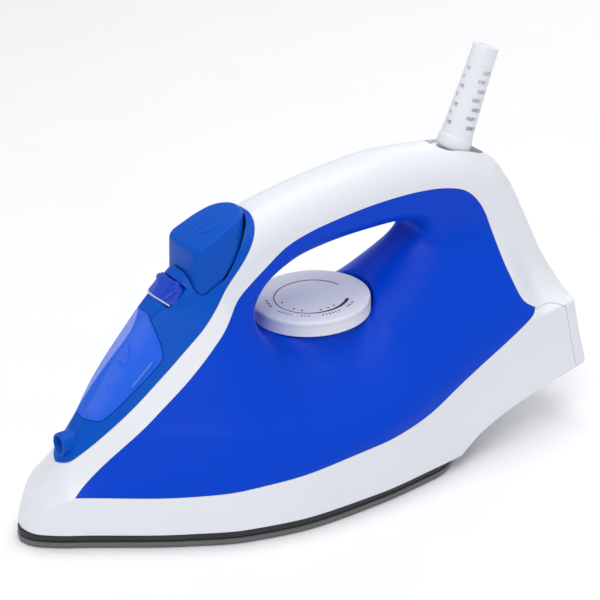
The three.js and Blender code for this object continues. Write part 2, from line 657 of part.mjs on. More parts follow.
for (const [name, place] of Object.entries(soleScrews)) {
  pieces.push([name, () => screwAt(place), 'steel']);
}
for (const [name, make, finish] of pieces) iron.add(meshOf(name, make(), finish));

export default iron;
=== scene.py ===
"""Looks of the steam iron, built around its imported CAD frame.

Shapes are worked out in millimetres, with x counted from the nose tip towards the heel, and are
moved into the row frame, in metres, when a mesh is made.
"""
import math

import bmesh
import bpy
import numpy as np
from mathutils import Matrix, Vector


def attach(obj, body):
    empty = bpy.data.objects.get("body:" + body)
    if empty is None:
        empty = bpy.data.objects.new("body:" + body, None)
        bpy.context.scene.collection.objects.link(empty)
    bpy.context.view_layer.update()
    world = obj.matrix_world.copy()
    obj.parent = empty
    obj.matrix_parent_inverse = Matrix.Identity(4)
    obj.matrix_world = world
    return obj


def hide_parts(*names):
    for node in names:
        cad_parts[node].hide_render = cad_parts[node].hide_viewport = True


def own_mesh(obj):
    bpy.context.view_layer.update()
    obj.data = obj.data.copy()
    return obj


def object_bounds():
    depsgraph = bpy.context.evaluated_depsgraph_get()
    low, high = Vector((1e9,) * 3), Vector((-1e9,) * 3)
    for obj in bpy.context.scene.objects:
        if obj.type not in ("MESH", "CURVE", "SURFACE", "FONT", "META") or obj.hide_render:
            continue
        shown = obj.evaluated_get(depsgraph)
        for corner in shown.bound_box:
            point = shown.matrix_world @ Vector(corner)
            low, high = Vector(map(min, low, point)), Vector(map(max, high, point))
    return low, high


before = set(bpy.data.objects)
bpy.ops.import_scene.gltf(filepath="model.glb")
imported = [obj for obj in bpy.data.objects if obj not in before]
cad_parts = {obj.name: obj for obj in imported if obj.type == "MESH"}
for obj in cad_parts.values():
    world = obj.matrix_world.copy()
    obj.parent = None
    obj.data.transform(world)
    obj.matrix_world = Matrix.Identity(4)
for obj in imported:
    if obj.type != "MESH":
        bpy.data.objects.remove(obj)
CAD_LOW, CAD_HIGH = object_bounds()

MM = 0.001
NOSE = np.array([CAD_LOW.x / MM, 0.0, 0.0])      # the nose tip in the row frame
LENGTH = (CAD_HIGH.x - CAD_LOW.x) / MM
SHELL = 2.6                                       # thickness of the moulded shells
SEAM = 0.10                                       # half the gap between two mouldings
GRID = 1.0                 # cell of the body's surface grid

DIAL_PLACE, DIAL_TILT = (134.7, 0.0, 73.4), math.radians(-3)     # middle of its face, and its lean
DIAL_RADIUS, KNURLS = 24.3, 150
ROOM_RADIUS, ROOM_LOW, ROOM_HIGH = 25.5, 66.5, 84 # the recess in the body that the dial turns in
SEAT_RADIUS, SEAT_TOP, SEAT_FOOT = 21.6, 66.1, 48 # the round pedestal under the dial
NOZZLE_PLACE = (18.5, 0, 37.7)
TANK_GAP, TANK_WALL = 0.6, 1.4                    # between skin and tank, and the tank's own wall


# ---- curves and fields ----
def profile(knots):
    """Smooth curve through knots that never overshoots them, flat past the ends."""
    xs, ys = np.array(knots, float).T
    step = np.diff(xs)
    rise = np.diff(ys) / step
    slope = np.zeros(len(xs))
    slope[0], slope[-1] = rise[0], rise[-1]
    for i in range(1, len(xs) - 1):
        if rise[i - 1] * rise[i] > 0:
            before = (2 * step[i] + step[i - 1]) / rise[i - 1]
            after = (step[i] + 2 * step[i - 1]) / rise[i]
            slope[i] = 3 * (step[i - 1] + step[i]) / (before + after)

    def value(x):
        at = np.clip(np.asarray(x, float), xs[0], xs[-1])
        i = np.clip(np.searchsorted(xs, at, side="right") - 1, 0, len(xs) - 2)
        t = (at - xs[i]) / step[i]
        u = 1 - t
        ends = ys[i] * (1 + 2 * t) * u * u + ys[i + 1] * t * t * (3 - 2 * t)
        return ends + step[i] * t * u * (slope[i] * u - slope[i + 1] * t)

    return value


def curved(points, count, closed=False):
    """Evenly spaced points on a centripetal spline through a few given ones."""
    p = np.array(points, float)
    if closed:
        ring = np.vstack([p[-1], p, p[0], p[1]])
    else:
        ring = np.vstack([2 * p[0] - p[1], p, 2 * p[-1] - p[-2]])
    fine = []
    for a, b, c, d in zip(ring, ring[1:], ring[2:], ring[3:]):
        k0, k1, k2 = (np.sqrt(np.linalg.norm(v)) for v in (b - a, c - b, d - c))
        m1 = c - b + k1 * ((b - a) / k0 - (c - a) / (k0 + k1))
        m2 = c - b + k1 * ((d - c) / k2 - (d - b) / (k1 + k2))
        t = np.linspace(0, 1, 24, endpoint=False)[:, None]
        fine.append((2 * t**3 - 3 * t**2 + 1) * b + (t**3 - 2 * t**2 + t) * m1
                    + (3 * t**2 - 2 * t**3) * c + (t**3 - t**2) * m2)
    fine = np.vstack(fine + [p[:1] if closed else p[-1:]])
    along = np.concatenate([[0], np.cumsum(np.linalg.norm(np.diff(fine, axis=0), axis=1))])
    where = np.linspace(0, along[-1], count + 1)[: count if closed else count + 1]
    return np.stack([np.interp(where, along, fine[:, i]) for i in range(p.shape[1])], axis=1)


def grown(outline, distance):
    """An outline with every edge moved outwards by distance."""
    p = np.array(outline, float)
    following, before = np.roll(p, -1, 0), np.roll(p, 1, 0)
    turn = np.sign(np.sum(p[:, 0] * following[:, 1] - following[:, 0] * p[:, 1])) * distance
    ahead, behind = following - p, p - before
    n1 = np.stack([behind[:, 1], -behind[:, 0]], 1) / np.linalg.norm(behind, axis=1)[:, None]
    n2 = np.stack([ahead[:, 1], -ahead[:, 0]], 1) / np.linalg.norm(ahead, axis=1)[:, None]
    normal = n1 + n2
    normal /= np.maximum(np.linalg.norm(normal, axis=1), 1e-9)[:, None]
    reach = turn / np.maximum(np.sum(normal * n2, axis=1), 0.5)
    return p + normal * reach[:, None]


def outline_distance(u, v, outline):
    """Signed distance from points to a closed outline, negative inside."""
    u, v = np.broadcast_arrays(u, v)
    nearest = np.full(u.shape, 1e18)
    inside = np.zeros(u.shape, bool)
    for (ax, ay), (bx, by) in zip(outline, np.roll(outline, -1, axis=0)):
        dx, dy = bx - ax, by - ay
        t = np.clip(((u - ax) * dx + (v - ay) * dy) / max(dx * dx + dy * dy, 1e-12), 0, 1)
        nearest = np.minimum(nearest, (u - ax - t * dx) ** 2 + (v - ay - t * dy) ** 2)
        if ay != by:
            crosses = (ay > v) != (by > v)
            inside ^= crosses & (u < (v - ay) * dx / dy + ax)
    return np.where(inside, -1.0, 1.0) * np.sqrt(nearest)


def round_meet(a, b, radius):
    """Intersection of two signed distances with the edge rounded to radius."""
    u, v = np.maximum(radius + a, 0), np.maximum(radius + b, 0)
    return np.minimum(-radius, np.maximum(a, b)) + np.sqrt(u * u + v * v)


def ramp(x, low, high):
    t = np.clip((x - low) / (high - low), 0, 1)
    return t * t * (3 - 2 * t)


class Chart:
    """A function of two coordinates, tabulated once and then read between its points."""

    STEP = 0.5

    def __init__(self, make, low, high):
        self.low = np.array(low, float)
        self.count = ((np.array(high) - self.low) / self.STEP).astype(int) + 1
        u = self.low[0] + self.STEP * np.arange(self.count[0])[:, None]
        v = self.low[1] + self.STEP * np.arange(self.count[1])[None, :]
        self.table = np.broadcast_to(make(u, v), self.count).copy()

    def __call__(self, u, v):
        a = np.clip((u - self.low[0]) / self.STEP, 0, self.count[0] - 1.001)
        b = np.clip((v - self.low[1]) / self.STEP, 0, self.count[1] - 1.001)
        i, j = a.astype(int), b.astype(int)
        s, t = a - i, b - j
        f = self.table
        low = f[i, j] * (1 - t) + f[i, j + 1] * t
        high = f[i + 1, j] * (1 - t) + f[i + 1, j + 1] * t
        return low * (1 - s) + high * s


# ---- the body's shape ----
skirt_half = profile([(0, 0.6), (1.2, 4.4), (8, 11.8), (21, 19.8), (53, 39), (76, 49),
                      (105, 53.5), (135, 52), (167, 46.5), (195, 41), (240, 35.5),
                      (LENGTH, 33.5)])
sole_half = profile([(0, 0), (1.2, 4.5), (8, 11.5), (21, 19.5), (53, 38.5), (76, 48.5),
                     (105, 53), (135, 51), (167, 45.5), (191, 40)])
lower_edge = profile([(0, 6.1), (180, 6.1), (192, 12), (213, 19), (LENGTH, 27)])
top_line = profile([(0, 8), (4, 14), (10, 22), (24, 41), (36, 60.5), (45, 72), (64, 92),
                    (88, 110.5), (100, 117), (112, 120.8), (142, 127), (165, 129.5),
                    (198, 127.2), (218, 119), (226, 108), (234, 90), (241, 73), (245, 66),
                    (250, 62), (LENGTH, 60)])
skirt_top = profile([(0, 12), (17, 21.5), (75, 22), (120, 27.5), (162, 34), (191, 44),
                     (226, 56), (LENGTH, 58)])
upper_half = profile([(0, 3), (17, 5.5), (60, 6.8), (76, 11.5), (88, 14), (110, 15.5),
                      (190, 15.5), (215, 16.5), (231, 18), (242, 20.5), (248, 31.5),
                      (LENGTH, 33)])
flank_top = profile([(0, 12), (17, 31.5), (51, 76), (64, 88), (80, 94), (95, 84), (112, 70),
                     (135, 70), (160, 84), (200, 94), (220, 90), (235, 82), (245, 68),
                     (LENGTH, 60)])
flank_full = profile([(0, 1.15), (60, 1.2), (130, 1.8), (212, 1.8), (232, 0.8), (LENGTH, 0.8)])
flank_hollow = profile([(0, 1), (60, 1), (130, 1.6), (212, 1.6), (232, 2.4), (LENGTH, 2.4)])
crown_radius = profile([(0, 4), (14, 3.5), (24, 1.4), (60, 1.8), (68, 4), (75, 8), (82, 12),
                        (205, 13), (228, 9), (244, 5), (LENGTH, 4)])
# The blue side breaks along this line: steep below it, hollow above it.
side_break = profile([(20, 44), (65, 43), (101, 40.5), (128, 39.5), (150, 42), (165, 46),
                      (177, 53), (190, 62)])
HEEL_TOP, HEEL_FOOT = (246.0, 60.0), (LENGTH, 27.0)


def flank(x, z):
    """Half width of the body at a height, before its edges are rounded."""
    wide, narrow = skirt_half(x), np.minimum(upper_half(x), skirt_half(x))
    start = np.minimum(skirt_top(x), top_line(x) - 1)
    end = np.maximum(flank_top(x), start + 2)
    t = np.clip((z - start) / (end - start), 0, 1.5)
    fall = 1 - t ** flank_full(x)
    soft = 0.16 * ramp(x, 62, 82)
    blend = ((fall + np.sqrt(fall**2 + soft**2)) / (1 + np.sqrt(1 + soft**2))) ** flank_hollow(x)
    lean = 0.08 * np.clip(z - lower_edge(x), 0, 16) * np.minimum(wide / 20, 1)
    above = np.maximum(z - side_break(x), 0)
    inner = 1 - ramp(np.abs(z - side_break(x) - 20), 10, 22)
    hollow = 0.24 * np.sqrt(above**2 + 1) * np.exp(-above / 11) * ramp(x, 40, 62)
    hollow = hollow * (1 - ramp(x, 172, 196)) * np.clip(inner + (above < 10), 0, 1)
    return narrow + (wide - narrow) * blend - lean - hollow


opening_outline = curved([(100.5, 76), (102.5, 84), (108, 90.5), (119, 96), (135, 99.5),
                          (155, 101.2), (172, 101), (181, 97.5), (182, 93), (176, 88),
                          (168, 82), (160, 76.5), (151, 73.5), (144, 67), (130, 65),
                          (112, 64.5), (105, 68)], 120, closed=True)
panel_outline = np.vstack([
    curved([(17, 22), (30, 33.5), (50, 50), (64, 61.8), (77, 74.2), (85, 81.3), (95.5, 90.3), (105, 98),
            (114, 104.5), (124, 108.2), (140, 111.5), (158, 113.8), (178, 114.4), (192, 112.8),
            (201, 109.5), (208, 102), (213, 90), (215, 74), (218, 63.5), (224, 59)], 110),
    curved([(222, 57.5), (205, 49), (180, 38.5), (163, 31.5), (146, 28.3), (121, 26.5), (90, 24),
            (59, 22), (25, 22)], 70)])
cover_outline = np.vstack([
    curved([(13, 29), (18, 31.5), (49, 57.5), (78, 84), (97, 105), (104, 119), (104, 130)], 60),
    [(60, 140), (-10, 70), (-10, 29)]])
heel_outline = np.vstack([
    [(224, 58.4)], curved([(234, 58), (238.5, 56.5), (240.2, 53)], 8),
    [(247, 24), (270, 18), (270, 63), (227, 63), (224, 60)]])
window_outline = np.vstack([
    curved([(57, 90), (59, 78), (59, 71.5), (57, 68.5), (46, 58.8), (35.5, 49.5), (32.5, 47.6),
            (27, 48)], 60), [(10, 60), (30, 100)]])

crest = np.linspace(0, LENGTH, 200)
silhouette = np.vstack([
    [(0, -20)], np.stack([crest, top_line(crest)], 1)[crest < HEEL_TOP[0]],
    [HEEL_TOP, HEEL_FOOT, (HEEL_FOOT[0] + 12, -20)]])


def heel_seam(gap):
    """The heel cover's outline, with its upper edge nearly closed against the pillar."""
    seam = grown(heel_outline, gap)
    seam[-3:-1, 1] = 63 + 0.2 * gap
    return seam


SIDE_LOW, SIDE_HIGH = (-6, -6), (262, 142)


def side_chart(make):
    return Chart(make, SIDE_LOW, SIDE_HIGH)


def steepness(x, z):
    h = 0.4
    across = (flank(x + h, z) - flank(x - h, z)) / (2 * h)
    upwards = (flank(x, z + h) - flank(x, z - h)) / (2 * h)
    return np.sqrt(1 + across**2 + upwards**2)


flank_chart = side_chart(flank)
steep_chart = side_chart(steepness)
crest_chart = side_chart(lambda x, z: outline_distance(x, z, silhouette))
opening_chart = side_chart(lambda x, z: -outline_distance(x, z, opening_outline))


def smooth_join(a, b, reach):
    """Union of two signed distances with the corner filled over reach."""
    near = np.maximum(reach - np.abs(a - b), 0)
    return np.minimum(a, b) - near * near / (4 * reach)


def from_dial_axis(x, y):
    return np.sqrt((x - DIAL_PLACE[0]) ** 2 + y * y)


def seat_field(x, y, z):
    """Round pedestal under the dial, square to the dial's tilt and wider towards its foot."""
    across = from_dial_axis(x, y) - SEAT_RADIUS - 0.12 * np.clip(66 - z, 0, 40)
    above = z - SEAT_TOP + (x - DIAL_PLACE[0]) * math.tan(DIAL_TILT)
    return round_meet(round_meet(across, above, 1.2), SEAT_FOOT - z, 1)


def body_field(x, y, z):
    """Signed distance, nearly, to the body's skin without its mouldings' seams."""
    side = (np.abs(y) - flank_chart(x, z)) / steep_chart(x, z)
    inside = round_meet(side, crest_chart(x, z), crown_radius(x))
    under_handle = 4 + 3 * ramp(x, 104, 125)
    seat = 4 + 8 * ramp(x, 102, 122)
    mouth = seat + (under_handle - seat) * ramp(z, 84, 97)
    inside = round_meet(inside, opening_chart(x, z), mouth)
    room = ROOM_RADIUS - from_dial_axis(x, y)
    recess = np.minimum(np.minimum(room, z - ROOM_LOW), ROOM_HIGH - z)
    inside = round_meet(inside, recess, 1.5)
    # Ahead of the heel the skin runs on below its edge, which is cut straight afterwards.
    bottom = lower_edge(x) - 5 * (1 - ramp(x, 176, 184))
    return round_meet(smooth_join(inside, seat_field(x, y, z), 7), bottom - z, 0.8)


# ---- surface grids ----
def surface_grid(field, low, high, cell):
    """Closed quad mesh of field == 0 inside a box: vertices, quads."""
    low, high = np.array(low, float), np.array(high, float)
    count = np.ceil((high - low) / cell).astype(int) + 1
    axes = [low[i] + cell * np.arange(count[i]) for i in range(3)]
    x, y, z = axes[0][:, None, None], axes[1][None, :, None], axes[2][None, None, :]
    f = field(np.broadcast_to(x, count), np.broadcast_to(y, count), np.broadcast_to(z, count))
    solid = f < 0
    cells = tuple(count - 1)
    total, hits = np.zeros(cells + (3,)), np.zeros(cells)
    window = [slice(0, -1), slice(1, None)]
    for axis in range(3):
        others = [a for a in range(3) if a != axis]
        for i in (0, 1):
            for j in (0, 1):
                near, far = [None] * 3, [None] * 3
                near[axis], far[axis] = window
                near[others[0]] = far[others[0]] = window[i]
                near[others[1]] = far[others[1]] = window[j]
                a, b = f[tuple(near)], f[tuple(far)]
                cross = solid[tuple(near)] != solid[tuple(far)]
                t = np.where(cross, a / np.where(cross, a - b, 1), 0)
                point = [0, 0, 0]
                point[axis], point[others[0]], point[others[1]] = t, i, j
                for k in range(3):
                    total[..., k] += cross * point[k]
                hits += cross
    used = hits > 0
    number = np.full(cells, -1)
    number[used] = np.arange(used.sum())
    corner = np.stack(np.meshgrid(*[np.arange(c) for c in cells], indexing="ij"), -1)
    vertices = low + cell * (corner[used] + total[used] / hits[used][:, None])
    quads = []
    for axis in range(3):
        u, v = [a for a in range(3) if a != axis]
        sl = [slice(1, -1)] * 3
        a, b = list(sl), list(sl)
        a[axis], b[axis] = slice(0, -1), slice(1, None)
        first, second = solid[tuple(a)], solid[tuple(b)]
        where = np.argwhere(first != second)
        outward = first[first != second]
        ring = []
        for du, dv in ((0, 0), (1, 0), (1, 1), (0, 1)):
            c = where.copy()
            c[:, u] += du
            c[:, v] += dv
            ring.append(number[c[:, 0], c[:, 1], c[:, 2]])
        ring = np.stack(ring, 1)
        flip = outward if axis != 1 else ~outward
        quads.append(np.where(flip[:, None], ring, ring[:, ::-1]))
    return vertices, np.vstack(quads)


def gradient(field, p, h=0.15):
    g = np.zeros_like(p)
    for axis in range(3):
        step = np.zeros(3)
        step[axis] = h
        ahead, behind = p + step, p - step
        g[:, axis] = field(*ahead.T) - field(*behind.T)
    return g / (2 * h)


def settle(field, vertices, quads, rounds=3):
    """Spreads a grid's vertices evenly and puts them on the surface."""
    p = vertices.copy()
    edges = np.vstack([quads[:, [i, (i + 1) % 4]] for i in range(4)])
    degree = np.bincount(edges.ravel(), minlength=len(p))[:, None]
    for turn in range(rounds):
        if turn < rounds - 1:
            sums = np.zeros_like(p)
            for k in range(3):
                sums[:, k] = (np.bincount(edges[:, 0], p[edges[:, 1], k], len(p))
                              + np.bincount(edges[:, 1], p[edges[:, 0], k], len(p)))
            n = gradient(field, p)
            n /= np.maximum(np.linalg.norm(n, axis=1), 1e-6)[:, None]
            move = sums / degree - p
            move -= n * np.sum(move * n, axis=1)[:, None]
            p += 0.5 * move
        for _ in range(2):
            g = gradient(field, p)
            size = np.sum(g * g, axis=1)
            p -= g * (np.clip(field(*p.T) / np.maximum(size, 0.05), -1, 1))[:, None]
    return p


def to_frame(points):
    return (np.asarray(points, float) + NOSE) * MM


# ---- making objects ----
def new_object(name, vertices, faces):
    mesh = bpy.data.meshes.new(name)
    mesh.from_pydata(to_frame(vertices).tolist(), [], [list(map(int, f)) for f in faces])
    mesh.update()
    obj = bpy.data.objects.new(name, mesh)
    bpy.context.scene.collection.objects.link(obj)
    return obj


def grid_object(name, field, low, high, cell, thickness=0.0):
    """Smooth solid of field < 0; with a thickness, a shell with a closed hollow inside."""
    vertices, quads = surface_grid(field, low, high, cell)
    vertices = settle(field, vertices, quads)
    if thickness:
        def inner(x, y, z):
            return field(x, y, z) + thickness
        hollow, hollow_quads = surface_grid(inner, low, high, cell)
        hollow = settle(inner, hollow, hollow_quads)
        quads = np.vstack([quads, hollow_quads[:, ::-1] + len(vertices)])
        vertices = np.vstack([vertices, hollow])
    return new_object(name, vertices, quads)


def prism_across(outline, low=-80.0, high=80.0):
    """Solid with an (x, z) outline, running across the iron along y."""
    p = np.array(outline, float)
    return lofted("cutter", [np.stack([p[:, 0], np.full(len(p), y), p[:, 1]], 1)
                             for y in (low, high)])


def prism_upright(outline, low, high):
    """Solid with an (x, y) outline, standing between two heights."""
    p = np.array(outline, float)
    return lofted("cutter", [np.column_stack([p, np.full(len(p), z)]) for z in (low, high)])


def lofted(name, rings):
    """Solid through rings of equally many points, closed at the first and the last."""
    count, last = len(rings[0]), (len(rings) - 1) * len(rings[0])
    faces = [list(range(count))[::-1], list(range(last, last + count))]
    for a in range(0, last, count):
        b = a + count
        faces += [[a + i, a + (i + 1) % count, b + (i + 1) % count, b + i] for i in range(count)]
    return outward(new_object(name, np.vstack(rings), faces), split=True)


def outward(obj, split=False):
    """Turns every face outwards, with faces of more than four corners split if asked."""
    bm = bmesh.new()
    bm.from_mesh(obj.data)
    if split:
        bmesh.ops.triangulate(bm, faces=[f for f in bm.faces if len(f.verts) > 4])
    bmesh.ops.recalc_face_normals(bm, faces=bm.faces)
    bm.to_mesh(obj.data)
    bm.free()
    return obj


def carve(name, base, steps):
    """A copy of base after each (operation, cutter) of steps; cutters are removed."""
    obj = bpy.data.objects.new(name, base.data.copy())
    bpy.context.scene.collection.objects.link(obj)
    for operation, cutter in steps:
        modifier = obj.modifiers.new("cut", "BOOLEAN")
        modifier.operation = operation
        modifier.solver = "MANIFOLD"
        modifier.object = cutter
    bpy.context.view_layer.update()
    graph = bpy.context.evaluated_depsgraph_get()
    mesh = bpy.data.meshes.new_from_object(obj.evaluated_get(graph))
    obj.modifiers.clear()
    obj.data = mesh
    mesh.name = name
    for _, cutter in steps:
        if cutter.name.startswith("cutter"):
            bpy.data.objects.remove(cutter)
    return obj


def discard(obj):
    bpy.data.objects.remove(obj)


def values(collection, name, width=1, kind=float):
    """One attribute of every item in a mesh's collection, as an array."""
    data = np.zeros(len(collection) * width, kind)
    collection.foreach_get(name, data)
    return data if width == 1 else data.reshape(-1, width)


def shade(obj, angle=32.0):
    for polygon in obj.data.polygons:
        polygon.use_smooth = True
    obj.data.set_sharp_from_angle(angle=math.radians(angle))
    return obj


def shade_by_field(obj, field):
    """Takes the normals of a skin's faces from its field, so cut faces shade as smoothly."""
    mesh = obj.data
    mesh.update()
    g = gradient(field, values(mesh.vertices, "co", 3) / MM - NOSE)
    g /= np.maximum(np.linalg.norm(g, axis=1), 1e-9)[:, None]
    starts = values(mesh.polygons, "loop_start", 1, np.int64)
    totals = values(mesh.polygons, "loop_total", 1, np.int64)
    order = np.concatenate([np.arange(s, s + t) for s, t in zip(starts, totals)])
    face_normal = np.zeros((len(mesh.loops), 3))
    face_normal[order] = np.repeat(values(mesh.polygons, "normal", 3), totals, axis=0)
    smooth = g[values(mesh.loops, "vertex_index", 1, np.int64)]
    facing = np.sum(smooth * face_normal, axis=1)
    normal = np.where((np.abs(facing) > 0.8)[:, None], smooth * np.sign(facing)[:, None],
                      face_normal)
    for polygon in mesh.polygons:
        polygon.use_smooth = True
    mesh.normals_split_custom_set(normal.tolist())
    return obj


# ---- materials ----
def add_node(material, kind, **inputs):
    """A new shader node, with the inputs given (an _ in a name stands for a space)."""
    node = material.node_tree.nodes.new("ShaderNode" + kind)
    for name, value in inputs.items():
        node.inputs[name.replace("_", " ")].default_value = value
    return node


def plastic(name, color, roughness, *, mottle=0.02, grain=0.0008, transmission=0.0,
            coat=0.0, metallic=0.0, alpha=1.0, specular=0.5):
    """Moulded plastic or metal: slight colour drift, uneven gloss and a fine moulded grain."""
    material = bpy.data.materials.new(name)
    material.use_nodes = True
    links = material.node_tree.links
    shader = material.node_tree.nodes["Principled BSDF"]
    for socket, value in (("IOR", 1.47), ("Specular IOR Level", specular), ("Metallic", metallic),
                          ("Transmission Weight", transmission), ("Coat Weight", coat),
                          ("Alpha", alpha)):
        shader.inputs[socket].default_value = value
    place = add_node(material, "TexCoord")
    drift = add_node(material, "TexNoise", Scale=22, Detail=3)
    links.new(place.outputs["Object"], drift.inputs["Vector"])
    tint = add_node(material, "ValToRGB")
    for element, factor in zip(tint.color_ramp.elements, (1 - mottle, 1 + mottle)):
        element.color = (*[min(c * factor, 1) for c in color], 1)
    links.new(drift.outputs["Fac"], tint.inputs["Fac"])
    links.new(tint.outputs["Color"], shader.inputs["Base Color"])
    gloss = add_node(material, "MapRange", To_Min=roughness * 0.88, To_Max=roughness * 1.12)
    fine = add_node(material, "TexNoise", Scale=900, Detail=2)
    links.new(place.outputs["Object"], fine.inputs["Vector"])
    links.new(fine.outputs["Fac"], gloss.inputs["Value"])
    links.new(gloss.outputs["Result"], shader.inputs["Roughness"])
    bump = add_node(material, "Bump", Strength=1.0, Distance=grain * MM * 10)
    links.new(fine.outputs["Fac"], bump.inputs["Height"])
    links.new(bump.outputs["Normal"], shader.inputs["Normal"])
    return material


def paint_facet_highlight(material, color):
    """Painted highlight: blends the colour towards a lighter one along the facet in the middle of the
    tank.
    """
    links = material.node_tree.links
    base = material.node_tree.nodes["Principled BSDF"].inputs["Base Color"]
    plain = base.links[0].from_socket
    place, split = add_node(material, "TexCoord"), add_node(material, "SeparateXYZ")
    links.new(place.outputs["Object"], split.inputs["Vector"])
    across = add_node(material, "Math")
    across.operation = "ABSOLUTE"
    links.new(split.outputs["Y"], across.inputs[0])
    # The painted highlight is full within 2.5 mm of the middle and fades out by 6.5 mm.
    band = add_node(material, "MapRange")
    band.interpolation_type = "SMOOTHSTEP"
    for socket, value in (("From Min", 2.5 * MM), ("From Max", 6.5 * MM), ("To Min", 1.0),
                          ("To Max", 0.0)):
        band.inputs[socket].default_value = value
    links.new(across.outputs[0], band.inputs["Value"])
    highlight_mix = add_node(material, "MixRGB", Color2=(*color, 1))
    links.new(band.outputs["Result"], highlight_mix.inputs["Fac"])
    links.new(plain, highlight_mix.inputs["Color1"])
    links.new(highlight_mix.outputs["Color"], base)
    return material


WHITE = plastic("white_plastic", (0.80, 0.82, 0.87), 0.34, grain=0.0006)
DIAL_WHITE = plastic("dial_plastic", (0.79, 0.80, 0.85), 0.38)
GUARD_WHITE = plastic("guard_plastic", (0.82, 0.83, 0.88), 0.5)
BLUE = plastic("blue_plastic", (0.0, 0.055, 0.60), 0.38, mottle=0.04, specular=0.12)
COVER_BLUE = plastic("cover_blue", (0.0, 0.085, 0.52), 0.4, mottle=0.04, specular=0.14)
CLEAR = plastic("clear_blue", (0.02, 0.17, 1.0), 0.08, alpha=0.55, coat=0.25, specular=0.4)
BLACK = plastic("black_plastic", (0.018, 0.02, 0.026), 0.5)
SOLE = plastic("soleplate_metal", (0.16, 0.16, 0.165), 0.42, metallic=0.6, mottle=0.06)
STEEL = plastic("steel", (0.55, 0.56, 0.58), 0.3, metallic=1.0)
BRASS = plastic("brass", (0.72, 0.53, 0.24), 0.32, metallic=1.0)
CERAMIC = plastic("ceramic", (0.82, 0.78, 0.68), 0.7)
INK = plastic("print_ink", (0.012, 0.014, 0.02), 0.6)
CAP_BLUE = plastic("cap_blue", (0.0, 0.05, 0.62), 0.12, alpha=0.8, coat=0.25)
# Pale translucent colour: on the filler cap's lip it is a painted highlight along the cap's front edge;
# the nozzle tip wears the same colour.
LIP_HIGHLIGHT_AND_TIP = plastic("lip_highlight_and_tip", (0.55, 0.62, 0.95), 0.25, transmission=0.2)
# The tank's lighter band along its middle facet is a painted highlight.
TANK = paint_facet_highlight(plastic("tank_plastic", (0.02, 0.24, 1.0), 0.25), (0.72, 0.78, 1.0))
LEVEL_BAR = plastic("level_bar", (0.10, 0.28, 0.95), 0.2, transmission=0.3)
HOSE = plastic("clear_hose", (0.75, 0.78, 0.8), 0.3, transmission=0.5)


def finish_piece(obj, body, slot, material, *nodes):
    obj.data.materials.clear()
    obj.data.materials.append(material)
    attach(obj, body)
    if nodes:
        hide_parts(*nodes)
    return obj


# ---- mouldings cut from the body's skin ----
BODY_LOW, BODY_HIGH = (-3, -57, -2), (LENGTH + 3, 57, 134)
skin = grid_object("skin", body_field, BODY_LOW, BODY_HIGH, GRID, SHELL)

GUARD_PIVOT = (199.3, 0.0, 113.0)
GUARD_LEAN = math.radians(20.7)
GUARD_MOUTH = 204.2             # middle of the slot that the cord guard swings in


def slot_outline(half, width):
    turn = np.linspace(-math.pi / 2, math.pi / 2, 16)
    ahead = np.stack([GUARD_MOUTH + half - width + width * np.cos(turn), width * np.sin(turn)], 1)
    behind = np.stack([2 * GUARD_MOUTH - ahead[:, 0], -ahead[:, 1]], 1)
    return np.vstack([ahead, behind])


def button_plan(extra):
    side = [(74, 0), (74.2, 6), (75.1, 10.6), (77.6, 12.5), (82, 12.7), (88, 12.6), (94, 11.4),
            (98, 8.8), (100.8, 5), (101.8, 0)]
    mirrored = [(x, -y) for x, y in side[1:-1]][::-1]
    return grown(curved(side + mirrored, 72, closed=True), extra)


# The filler cap's lower and upper end in side view, and half its width.
LID_LOW, LID_HIGH, LID_HALF = (62.6, 90.6), (69.6, 97.0), 8.0
LID_SLOPE = math.atan2(LID_HIGH[1] - LID_LOW[1], LID_HIGH[0] - LID_LOW[0])
LID_LENGTH = math.hypot(LID_HIGH[0] - LID_LOW[0], LID_HIGH[1] - LID_LOW[1])


def on_lid(along, above):
    """Side view point at a distance up the filler cap's slope and a height over it."""
    return (LID_LOW[0] + along * math.cos(LID_SLOPE) - above * math.sin(LID_SLOPE),
            LID_LOW[1] + along * math.sin(LID_SLOPE) + above * math.cos(LID_SLOPE))


LID_HINGE = on_lid(LID_LENGTH - 1.8, -1.4)
lid_well = [on_lid(-0.4, -3.8), on_lid(LID_LENGTH + 0.7, -3.8), on_lid(LID_LENGTH + 0.7, 6),
            on_lid(-0.4, 6)]

sole_room = prism_across([(110, -5), (191, -5), (191, 20), (110, 20)], -36, 36)
along_edge = np.linspace(-6, LENGTH + 6, 200)
below_edge = np.vstack([
    np.stack([along_edge, lower_edge(along_edge) - 0.4 * ramp(along_edge, 183, 187)], 1),
    [(LENGTH + 6, -9), (-6, -9)]])


def cut_from_skin(name, node, slot, material, *steps):
    """A moulding cut from the body's skin, which stands for a node."""
    finish_piece(shade_by_field(carve(name, skin, steps), body_field), "housing", slot, material,
                 node)


cut_from_skin("outer_shell_skin", "outer_shell", "white_plastic", WHITE,
              ("DIFFERENCE", prism_across(grown(panel_outline, SEAM))),
              ("DIFFERENCE", prism_across(grown(cover_outline, SEAM))),
              ("DIFFERENCE", prism_across(heel_seam(SEAM))),
              ("DIFFERENCE", prism_upright(slot_outline(13.0, 7.6), 112, 140)),
              ("DIFFERENCE", sole_room),
              ("DIFFERENCE", prism_across(below_edge)))
cut_from_skin("saddle_skin", "saddle_body", "blue_plastic", BLUE,
              ("INTERSECT", prism_across(grown(panel_outline, -SEAM))))
cut_from_skin("front_cover_skin", "front_cover", "blue_plastic", COVER_BLUE,
              ("INTERSECT", prism_across(grown(cover_outline, -SEAM))),
              ("DIFFERENCE", prism_across(window_outline)),
              ("DIFFERENCE", prism_across(lid_well, -LID_HALF - 0.8, LID_HALF + 0.8)),
              ("DIFFERENCE", prism_upright(button_plan(0.5), 70, 140)))
